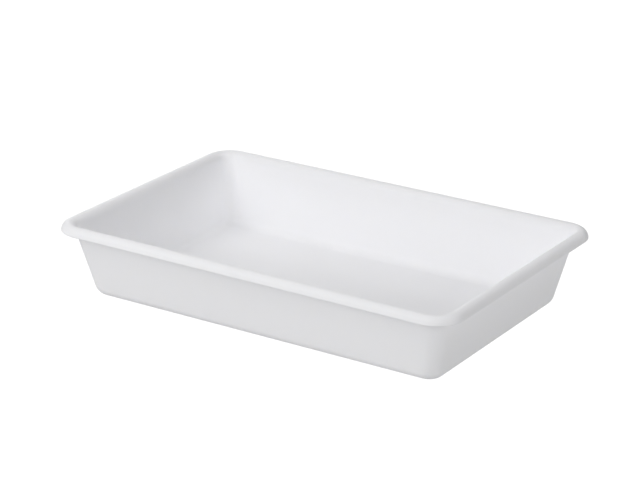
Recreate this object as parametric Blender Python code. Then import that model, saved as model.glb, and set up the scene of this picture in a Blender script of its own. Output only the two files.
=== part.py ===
"""Developing tray: one injection-moulded plastic shell with a turned-over rim.

Frame: metres, +Z up, the long side along X, the origin at the centre of the underside.

The shell is a skin of even thickness. Its cross-section is drawn once, as insets from the
rim's outer edge and heights above the underside. Each point of the section becomes a
rounded rectangle round the tray, and the rectangles are bridged into one closed solid.
"""

from math import acos, atan2, cos, hypot, pi, radians, sin, tan

import bmesh
import bpy

# Driving dimensions
LENGTH = 0.420                   # over the rim, along X
WIDTH = 0.2753                   # over the rim, along Y
HEIGHT = 0.0722                  # underside to the crest of the rim
SKIN = 0.0024                    # moulded thickness, everywhere
DRAFT = radians(12.2)            # lean of the walls from the vertical
RIM_CORNER_RADIUS = 0.0271       # rim's outer corner, in plan
RIM_CREST_INSET = 0.0068         # outer edge of the rim to its crest
RIM_CREST_RADIUS = 0.0066        # crest into the rim's sloping outer face
RIM_DEPTH = 0.0079               # crest to the bottom of the turned-down lip
RIM_INNER_RADIUS = 0.0084        # crest into the inside of the wall
FLOOR_FILLET_RADIUS = 0.0090     # inside of the wall into the floor

# Fineness
CORNER_STEPS = 10
CREST_STEPS = 6
INNER_ROUND_STEPS = 6
FILLET_STEPS = 6
LIP_END_STEPS = 4

# Finish
PLASTIC_COLOUR = (0.84, 0.85, 0.86, 1.0)
PLASTIC_ROUGHNESS = 0.38

# Angles in the section: 0 points to the middle of the tray, 90 degrees points up
OUTWARD = pi
UP = pi / 2
DOWN = 3 * pi / 2


def arc(centre, radius, start, end, steps):
    """Points along a round arc in the section, both ends included."""
    angles = [start + (end - start) * step / steps for step in range(steps + 1)]
    return [(centre[0] + radius * cos(angle), centre[1] + radius * sin(angle)) for angle in angles]


def wall_foot_inset():
    """Inset of the floor fillet's centre, where the flat of the floor begins."""
    wall_top = HEIGHT - RIM_INNER_RADIUS * (1 - sin(DRAFT))
    wall_bottom = SKIN + FLOOR_FILLET_RADIUS * (1 - sin(DRAFT))
    inset_at_top = RIM_CREST_INSET + RIM_INNER_RADIUS * cos(DRAFT)
    return inset_at_top + (wall_top - wall_bottom) * tan(DRAFT) + FLOOR_FILLET_RADIUS * cos(DRAFT)


def lip_end_centre():
    """Middle of the lip's rounded end, which is the lowest and outermost part of the rim."""
    return (SKIN / 2, HEIGHT - RIM_DEPTH + SKIN / 2)


def face_normal_angle():
    """Direction in which the rim's flat outer face looks: it joins the crest's arc to the lip's end."""
    lip_x, lip_z = lip_end_centre()
    run_x, run_z = lip_x - RIM_CREST_INSET, lip_z - (HEIGHT - RIM_CREST_RADIUS)
    return atan2(run_z, run_x) % (2 * pi) - acos((RIM_CREST_RADIUS - SKIN / 2) / hypot(run_x, run_z))


def skin_section(depth):
    """The section's line at a depth under the surface that shows, from floor to crest.

    Depth 0 is the inside of the tray and the top of the rim. Depth SKIN is the underside,
    the outside of the walls and the hollow under the rim.
    """
    fillet_centre = (wall_foot_inset(), SKIN + FLOOR_FILLET_RADIUS)
    inner_centre = (RIM_CREST_INSET, HEIGHT - RIM_INNER_RADIUS)
    crest_centre = (RIM_CREST_INSET, HEIGHT - RIM_CREST_RADIUS)

    fillet = arc(fillet_centre, FLOOR_FILLET_RADIUS + depth, DOWN, OUTWARD + DRAFT, FILLET_STEPS)
    inner_round = arc(inner_centre, RIM_INNER_RADIUS - depth, DRAFT, UP, INNER_ROUND_STEPS)
    crest = arc(crest_centre, RIM_CREST_RADIUS - depth, UP, face_normal_angle(), CREST_STEPS)
    return fillet + inner_round + crest[1:]


def closed_section():
    """The whole section: inside from floor to crest, round the lip's end, and back underneath."""
    outward = face_normal_angle()
    lip_end = arc(lip_end_centre(), SKIN / 2, outward, outward + pi, LIP_END_STEPS)
    return skin_section(0.0) + lip_end + skin_section(SKIN)[::-1]


def plan_radius(inset, height):
    """Corner radius in plan: concentric round the rim, and unchanged down the leaning walls."""
    wall_top = HEIGHT - RIM_INNER_RADIUS * (1 - sin(DRAFT))
    below_wall_top = max(0.0, wall_top - height)
    return RIM_CORNER_RADIUS - inset + below_wall_top * tan(DRAFT)


def rounded_rectangle(inset, height):
    """One level ring of the shell, counter-clockwise seen from above."""
    radius = plan_radius(inset, height)
    corner_x = LENGTH / 2 - inset - radius
    corner_y = WIDTH / 2 - inset - radius
    points = []
    for quadrant, (side_x, side_y) in enumerate(((1, 1), (-1, 1), (-1, -1), (1, -1))):
        for step in range(CORNER_STEPS + 1):
            angle = (quadrant + step / CORNER_STEPS) * pi / 2
            x = side_x * corner_x + radius * cos(angle)
            y = side_y * corner_y + radius * sin(angle)
            points.append((x, y, height))
    return points


def add_ring(shell, points):
    """Add one closed loop of edges and return its edges."""
    verts = [shell.verts.new(point) for point in points]
    return [shell.edges.new((vert, follower)) for vert, follower in zip(verts, verts[1:] + verts[:1])]


def build_shell():
    """Bridge the section's rings and close the floor and the underside."""
    shell = bmesh.new()
    rings = [add_ring(shell, rounded_rectangle(inset, height)) for inset, height in closed_section()]
    for ring, follower in zip(rings, rings[1:]):
        bmesh.ops.bridge_loops(shell, edges=ring + follower)
    bmesh.ops.contextual_create(shell, geom=rings[0])
    bmesh.ops.contextual_create(shell, geom=rings[-1])
    bmesh.ops.recalc_face_normals(shell, faces=shell.faces)

    mesh = bpy.data.meshes.new("tray_body")
    shell.to_mesh(mesh)
    shell.free()
    mesh.shade_smooth()
    mesh.set_sharp_from_angle(angle=radians(30))
    return mesh


def white_plastic():
    """Satin white moulded plastic."""
    material = bpy.data.materials.new("white_plastic")
    material.use_nodes = True
    shader = material.node_tree.nodes["Principled BSDF"]
    shader.inputs["Base Color"].default_value = PLASTIC_COLOUR
    shader.inputs["Roughness"].default_value = PLASTIC_ROUGHNESS
    shader.inputs["Metallic"].default_value = 0.0
    return material


def main():
    for obj in list(bpy.data.objects):
        bpy.data.objects.remove(obj, do_unlink=True)

    tray = bpy.data.objects.new("tray_body", build_shell())
    tray.data.materials.append(white_plastic())
    bpy.context.scene.collection.objects.link(tray)


main()
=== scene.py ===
"""White moulded developing tray: its fine visible surface, plastic, light and camera.

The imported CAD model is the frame. One fine closed shell stands for the faceted CAD solid,
with the same section and size. Everything is in metres, +Z up, long side along X.
"""

from math import acos, atan2, cos, hypot, pi, radians, sin, tan

import bmesh
import bpy
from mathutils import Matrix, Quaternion, Vector


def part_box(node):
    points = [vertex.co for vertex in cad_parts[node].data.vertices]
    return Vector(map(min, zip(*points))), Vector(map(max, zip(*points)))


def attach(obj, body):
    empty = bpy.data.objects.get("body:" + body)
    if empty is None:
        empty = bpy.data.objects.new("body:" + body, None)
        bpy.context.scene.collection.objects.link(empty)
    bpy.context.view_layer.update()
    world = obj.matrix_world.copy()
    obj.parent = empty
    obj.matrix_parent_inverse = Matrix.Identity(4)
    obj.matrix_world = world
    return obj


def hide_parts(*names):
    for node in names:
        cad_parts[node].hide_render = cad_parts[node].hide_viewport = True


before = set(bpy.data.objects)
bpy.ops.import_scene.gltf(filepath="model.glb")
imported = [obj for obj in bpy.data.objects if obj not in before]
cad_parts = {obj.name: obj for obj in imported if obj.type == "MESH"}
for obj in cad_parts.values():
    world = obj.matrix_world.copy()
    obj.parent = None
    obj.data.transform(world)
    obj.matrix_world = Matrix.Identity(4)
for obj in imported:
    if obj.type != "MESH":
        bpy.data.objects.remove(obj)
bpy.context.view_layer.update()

# The tray's size comes from the frame, the rest of its section from the design
TRAY_LOW, TRAY_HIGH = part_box("tray_body")
LENGTH = TRAY_HIGH.x - TRAY_LOW.x
WIDTH = TRAY_HIGH.y - TRAY_LOW.y
HEIGHT = TRAY_HIGH.z - TRAY_LOW.z
SKIN = 0.0024                    # moulded thickness
DRAFT = radians(12.2)            # lean of the walls from the vertical
RIM_CORNER_RADIUS = 0.0271       # rim's outer corner, in plan
RIM_CREST_INSET = 0.0068         # outer edge of the rim to its crest
RIM_CREST_RADIUS = 0.0066        # crest into the rim's sloping outer face
RIM_DEPTH = 0.0079               # crest to the bottom of the turned-down lip
RIM_INNER_RADIUS = 0.0084        # crest into the inside of the wall
FLOOR_FILLET_RADIUS = 0.0090     # inside of the wall into the floor

# Fineness of the shell
CORNER_STEPS = 20
LONG_SIDE_STEPS = 22
SHORT_SIDE_STEPS = 14
CREST_STEPS = 12
FACE_STEPS = 3
INNER_ROUND_STEPS = 12
FILLET_STEPS = 16
LIP_END_STEPS = 8
WALL_STEPS = 6
GUARD = 0.0015                   # a row of points this far from each round keeps the flats flat
GUARD_SHARE = 0.2                # most of a short run that a guard may take
FLAT_RINGS = (0.0015, 0.012, 0.030, 0.055, 0.080)   # rings across the floor, from its edge in

# Angles in the section: 0 points to the middle of the tray, 90 degrees points up
OUTWARD = pi
UP = pi / 2
DOWN = 3 * pi / 2

# Plastic. A noise's cell is about 1 / scale metres across
WHITE_LIGHT = (0.962, 0.962, 0.982, 1.0)
WHITE_DEEP = (0.948, 0.948, 0.968, 1.0)
PLASTIC_IOR = 1.49
PLASTIC_SPECULAR = 0.35
PLASTIC_GLOW = 0.15              # share of light that passes through the skin
GLOW_DEPTH = 0.003
GLOW_TINT = (1.0, 0.95, 0.85)    # red goes deepest
MOTTLE_SCALE = 11.0              # clouds of the two whites
MOTTLE_DETAIL = 3.0
SATIN_SCALE = 60.0               # uneven roughness
SATIN_DETAIL = 4.0
SATIN_RANGE = (0.52, 0.62)
GRAIN_SCALE = 1500.0             # fine mould texture
GRAIN_DETAIL = 2.0
GRAIN_STRENGTH = 0.25
GRAIN_DEPTH = 0.00003
FLOW_SCALE = 16.0                # slow waves, as thin moulded walls have
FLOW_STRETCH = (1.0, 2.2, 2.2)   # the waves run along the tray
FLOW_DETAIL = 2.0
FLOW_DISTORTION = 0.4
FLOW_STRENGTH = 0.35
FLOW_DEPTH = 0.0004
NOISE_LOW, NOISE_HIGH = 0.3, 0.7   # nearly all of a noise's values lie between these

# Floor
FLOOR_SIZE = 60.0
FLOOR_COLOUR = (0.2, 0.2, 0.2, 1.0)
FLOOR_ROUGHNESS = 0.9
FLOOR_GLOW = 0.40                # light that the lit table gives the tray

# Studio
WHITE = (1.0, 1.0, 1.0, 1.0)
STUDIO_SHOWN = 1.0               # the floor and the walls look paper white
STUDIO_GLOW = 0.0                # light that the walls give the tray

# Soft boxes: name, azimuth and elevation in degrees, side in metres, power in watts.
# Azimuth 0 is in front of the tray and 90 is to its right
LIGHT_DISTANCE = 2.2
SOFTBOXES = (
    ("key", -25.0, 38.0, 1.9, 24.6),
    ("front_low", 0.0, 20.0, 0.95, 9.7),
    ("right", 90.0, 20.0, 0.95, 13.4),
    ("left_high", 270.0, 60.0, 1.2, 7.0),
    ("behind", 180.0, 62.0, 1.4, 9.9),
    ("behind_left", 225.0, 20.0, 0.95, 8.8),
)

# Camera
CAMERA_AZIMUTH = radians(32.691)
CAMERA_ELEVATION = radians(22.235)
CAMERA_DISTANCE = 2.1243
CAMERA_AIM = Vector((-0.00451, 0.00203, 0.04579))
CAMERA_ROLL = radians(-0.369)
CAMERA_CLIP = (0.05, 200.0)
LENS = 129.05
SENSOR = 36.0


# ---------------------------------------------------------------- the shell

def polar(centre, radius, angle):
    """A point of the section at a distance and an angle from another one."""
    return (centre[0] + radius * cos(angle), centre[1] + radius * sin(angle))


def arc(centre, radius, start, end, steps):
    """Points along a round arc in the section, both ends included."""
    angles = [start + (end - start) * step / steps for step in range(steps + 1)]
    return [polar(centre, radius, angle) for angle in angles]


def straight(first, last, steps):
    """Points between two points of the section, ends left out, with a guard near each end."""
    run = Vector(last) - Vector(first)
    guard = min(GUARD / run.length, GUARD_SHARE)
    shares = [guard + (1 - 2 * guard) * step / steps for step in range(steps + 1)]
    return [tuple(Vector(first) + run * share) for share in shares]


def wall_top():
    """Height at which the wall's inside runs into the round of the rim."""
    return HEIGHT - RIM_INNER_RADIUS * (1 - sin(DRAFT))


def wall_foot_inset():
    """Inset of the floor fillet's centre, where the flat of the floor begins."""
    wall_bottom = SKIN + FLOOR_FILLET_RADIUS * (1 - sin(DRAFT))
    inset_at_top = RIM_CREST_INSET + RIM_INNER_RADIUS * cos(DRAFT)
    lean = (wall_top() - wall_bottom) * tan(DRAFT)
    return inset_at_top + lean + FLOOR_FILLET_RADIUS * cos(DRAFT)


def lip_end_centre():
    """Middle of the rounded end of the lip, the lowest and outermost part of the rim."""
    return (SKIN / 2, HEIGHT - RIM_DEPTH + SKIN / 2)


def face_normal_angle():
    """Direction the rim's outer face looks in: it touches the crest's arc and the lip's end."""
    lip_x, lip_z = lip_end_centre()
    run_x, run_z = lip_x - RIM_CREST_INSET, lip_z - (HEIGHT - RIM_CREST_RADIUS)
    lean = acos((RIM_CREST_RADIUS - SKIN / 2) / hypot(run_x, run_z))
    return atan2(run_z, run_x) % (2 * pi) - lean


def skin_section(depth):
    """The section's line at a depth under the surface that shows, from mid-floor to the lip.

    Depth 0 is the inside of the tray and the top of the rim. Depth SKIN is the underside,
    the outside of the walls and the hollow under the rim.
    """
    foot_inset = wall_foot_inset()
    fillet_centre = (foot_inset, SKIN + FLOOR_FILLET_RADIUS)
    inner_centre = (RIM_CREST_INSET, HEIGHT - RIM_INNER_RADIUS)
    crest_centre = (RIM_CREST_INSET, HEIGHT - RIM_CREST_RADIUS)
    outward = face_normal_angle()

    flat = [(foot_inset + distance, SKIN - depth) for distance in reversed(FLAT_RINGS)]
    fillet = arc(fillet_centre, FLOOR_FILLET_RADIUS + depth, DOWN, OUTWARD + DRAFT, FILLET_STEPS)
    inner_round = arc(inner_centre, RIM_INNER_RADIUS - depth, DRAFT, UP, INNER_ROUND_STEPS)
    wall = straight(fillet[-1], inner_round[0], WALL_STEPS)
    crest = arc(crest_centre, RIM_CREST_RADIUS - depth, UP, outward, CREST_STEPS)
    face_end = polar(lip_end_centre(), SKIN / 2 - depth, outward)
    face = straight(crest[-1], face_end, FACE_STEPS)
    return flat + fillet + wall + inner_round + crest[1:] + face


def closed_section():
    """The whole section: inside from floor to lip, round the lip's end, and back underneath."""
    outward = face_normal_angle()
    lip_end = arc(lip_end_centre(), SKIN / 2, outward, outward + pi, LIP_END_STEPS)
    return skin_section(0.0) + lip_end + skin_section(SKIN)[::-1]


def plan_radius(inset, height):
    """Corner radius in plan: concentric round the rim, and unchanged down the leaning walls.

    The rings across the floor keep a small radius instead of coming to a point.
    """
    below_wall_top = max(0.0, wall_top() - height)
    return max(RIM_CORNER_RADIUS - inset + below_wall_top * tan(DRAFT), SKIN)


def rounded_rectangle(inset, height):
    """One level ring of the shell, counter-clockwise from above, with points along its sides."""
    radius = plan_radius(inset, height)
    corner_x = LENGTH / 2 - inset - radius
    corner_y = WIDTH / 2 - inset - radius
    corners = []
    for quadrant, (side_x, side_y) in enumerate(((1, 1), (-1, 1), (-1, -1), (1, -1))):
        centre = (side_x * corner_x, side_y * corner_y)
        start = quadrant * pi / 2
        corners.append(arc(centre, radius, start, start + pi / 2, CORNER_STEPS))
    points = []
    for index, corner in enumerate(corners):
        steps = LONG_SIDE_STEPS if index % 2 == 0 else SHORT_SIDE_STEPS
        points += corner + straight(corner[-1], corners[(index + 1) % 4][0], steps)
    return [(x, y, height) for x, y in points]


def build_shell():
    """Join the section's rings and close the floor and the underside."""
    shell = bmesh.new()
    rings = []
    for inset, height in closed_section():
        points = rounded_rectangle(inset, TRAY_LOW.z + height)
        rings.append([shell.verts.new(point) for point in points])
    for ring, follower in zip(rings, rings[1:]):
        for index, vert in enumerate(ring):
            after = (index + 1) % len(ring)
            shell.faces.new((vert, ring[after], follower[after], follower[index]))
    shell.faces.new(rings[0][::-1])
    shell.faces.new(rings[-1])
    bmesh.ops.recalc_face_normals(shell, faces=shell.faces)
    mesh = bpy.data.meshes.new("tray_shell")
    shell.to_mesh(mesh)
    shell.free()
    mesh.shade_smooth()
    return mesh


# ---------------------------------------------------------------- the plastic

def add_node(tree, kind, **settings):
    """Add a shader node and set its own properties."""
    node = tree.nodes.new(kind)
    for name, value in settings.items():
        setattr(node, name, value)
    return node


def noise(tree, coordinates, scale, detail, distortion=0.0):
    """A noise texture in the tray's own metres."""
    node = add_node(tree, "ShaderNodeTexNoise")
    node.inputs["Scale"].default_value = scale
    node.inputs["Detail"].default_value = detail
    node.inputs["Distortion"].default_value = distortion
    tree.links.new(coordinates, node.inputs["Vector"])
    return node.outputs["Fac"]


def stretched(tree, coordinates, scale):
    """The tray's coordinates stretched along some axes, for marks with a direction."""
    node = add_node(tree, "ShaderNodeMapping")
    node.inputs["Scale"].default_value = scale
    tree.links.new(coordinates, node.inputs["Vector"])
    return node.outputs["Vector"]


def remapped(tree, value, low, high):
    """Bring the middle of a noise's range to low .. high."""
    node = add_node(tree, "ShaderNodeMapRange")
    node.inputs["From Min"].default_value = NOISE_LOW
    node.inputs["From Max"].default_value = NOISE_HIGH
    node.inputs["To Min"].default_value = low
    node.inputs["To Max"].default_value = high
    tree.links.new(value, node.inputs["Value"])
    return node.outputs["Result"]


def bump(tree, height, strength, depth, under=None):
    """A bump layer, on top of another one if there is one."""
    node = add_node(tree, "ShaderNodeBump")
    node.inputs["Strength"].default_value = strength
    node.inputs["Distance"].default_value = depth
    tree.links.new(height, node.inputs["Height"])
    if under is not None:
        tree.links.new(under, node.inputs["Normal"])
    return node.outputs["Normal"]


def white_plastic():
    """Satin white polypropylene, as it comes out of the mould."""
    material = bpy.data.materials.new("white_plastic")
    material.use_nodes = True
    tree = material.node_tree
    shader = tree.nodes["Principled BSDF"]
    shader.inputs["IOR"].default_value = PLASTIC_IOR
    shader.inputs["Specular IOR Level"].default_value = PLASTIC_SPECULAR
    shader.inputs["Subsurface Weight"].default_value = PLASTIC_GLOW
    shader.inputs["Subsurface Radius"].default_value = GLOW_TINT
    shader.inputs["Subsurface Scale"].default_value = GLOW_DEPTH

    coordinates = add_node(tree, "ShaderNodeTexCoord").outputs["Object"]
    mottle = remapped(tree, noise(tree, coordinates, MOTTLE_SCALE, MOTTLE_DETAIL), 0.0, 1.0)
    tint = add_node(tree, "ShaderNodeMix", data_type="RGBA")
    tint.inputs["A"].default_value = WHITE_DEEP
    tint.inputs["B"].default_value = WHITE_LIGHT
    tree.links.new(mottle, tint.inputs["Factor"])
    tree.links.new(tint.outputs["Result"], shader.inputs["Base Color"])

    unevenness = noise(tree, coordinates, SATIN_SCALE, SATIN_DETAIL)
    satin = remapped(tree, unevenness, *SATIN_RANGE)
    tree.links.new(satin, shader.inputs["Roughness"])

    along = stretched(tree, coordinates, FLOW_STRETCH)
    flow = noise(tree, along, FLOW_SCALE, FLOW_DETAIL, FLOW_DISTORTION)
    grain = noise(tree, coordinates, GRAIN_SCALE, GRAIN_DETAIL)
    waves = bump(tree, flow, FLOW_STRENGTH, FLOW_DEPTH)
    relief = bump(tree, grain, GRAIN_STRENGTH, GRAIN_DEPTH, waves)
    tree.links.new(relief, shader.inputs["Normal"])
    return material


# ---------------------------------------------------------------- floor, light and camera

def shown_and_given(tree, shown, given):
    """A strength that looks like one value, while another is the light that it gives."""
    seen = add_node(tree, "ShaderNodeLightPath").outputs["Is Camera Ray"]
    strength = add_node(tree, "ShaderNodeMapRange")
    strength.inputs["To Min"].default_value = given
    strength.inputs["To Max"].default_value = shown
    tree.links.new(seen, strength.inputs["Value"])
    return strength.outputs["Result"]


def white_floor():
    """A plain white light table: it lights the tray from below and looks paper white itself."""
    material = bpy.data.materials.new("white_floor")
    material.use_nodes = True
    tree = material.node_tree
    shader = tree.nodes["Principled BSDF"]
    shader.inputs["Base Color"].default_value = FLOOR_COLOUR
    shader.inputs["Roughness"].default_value = FLOOR_ROUGHNESS
    shader.inputs["Specular IOR Level"].default_value = 0.0
    shader.inputs["Emission Color"].default_value = WHITE
    strength = shown_and_given(tree, STUDIO_SHOWN, FLOOR_GLOW)
    tree.links.new(strength, shader.inputs["Emission Strength"])
    return material


def add_floor():
    """The surface that the tray stands on."""
    bpy.ops.mesh.primitive_plane_add(size=FLOOR_SIZE, location=(0.0, 0.0, TRAY_LOW.z))
    floor = bpy.context.object
    floor.name = "floor"
    floor.data.materials.append(white_floor())


def add_world():
    """White studio walls all round, which look paper white and give no light of their own."""
    world = bpy.data.worlds.new("studio")
    world.use_nodes = True
    tree = world.node_tree
    walls = tree.nodes["Background"]
    walls.inputs["Color"].default_value = WHITE
    strength = shown_and_given(tree, STUDIO_SHOWN, STUDIO_GLOW)
    tree.links.new(strength, walls.inputs["Strength"])
    bpy.context.scene.world = world


def direction(azimuth, elevation):
    """Unit vector from the tray's origin. Azimuth 0 is in front, 90 degrees is to the right."""
    return Vector((sin(azimuth) * cos(elevation),
                   -cos(azimuth) * cos(elevation),
                   sin(elevation)))


def add_softbox(name, azimuth, elevation, size, power):
    """A square soft light aimed at the tray."""
    light = bpy.data.lights.new(name, "AREA")
    light.shape = "SQUARE"
    light.size = size
    light.energy = power
    lamp = bpy.data.objects.new(name, light)
    bpy.context.scene.collection.objects.link(lamp)
    out = direction(radians(azimuth), radians(elevation))
    lamp.location = out * LIGHT_DISTANCE
    lamp.rotation_mode = "QUATERNION"
    lamp.rotation_quaternion = (-out).to_track_quat("-Z", "Y")


def add_camera():
    """A long lens looking down on the near right corner."""
    camera = bpy.data.cameras.new("camera")
    camera.lens = LENS
    camera.sensor_width = SENSOR
    camera.clip_start, camera.clip_end = CAMERA_CLIP
    holder = bpy.data.objects.new("camera", camera)
    bpy.context.scene.collection.objects.link(holder)
    holder.location = direction(CAMERA_AZIMUTH, CAMERA_ELEVATION) * CAMERA_DISTANCE
    holder.rotation_mode = "QUATERNION"
    aim = (CAMERA_AIM - holder.location).to_track_quat("-Z", "Y")
    holder.rotation_quaternion = aim @ Quaternion((0.0, 0.0, -1.0), CAMERA_ROLL)
    bpy.context.scene.camera = holder


# ---------------------------------------------------------------- the scene

tray = bpy.data.objects.new("tray_shell", build_shell())
bpy.context.scene.collection.objects.link(tray)
tray.data.materials.append(white_plastic())
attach(tray, "root")
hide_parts("tray_body")

add_floor()
add_world()
for softbox in SOFTBOXES:
    add_softbox(*softbox)
add_camera()

bpy.context.scene.view_settings.view_transform = "Standard"
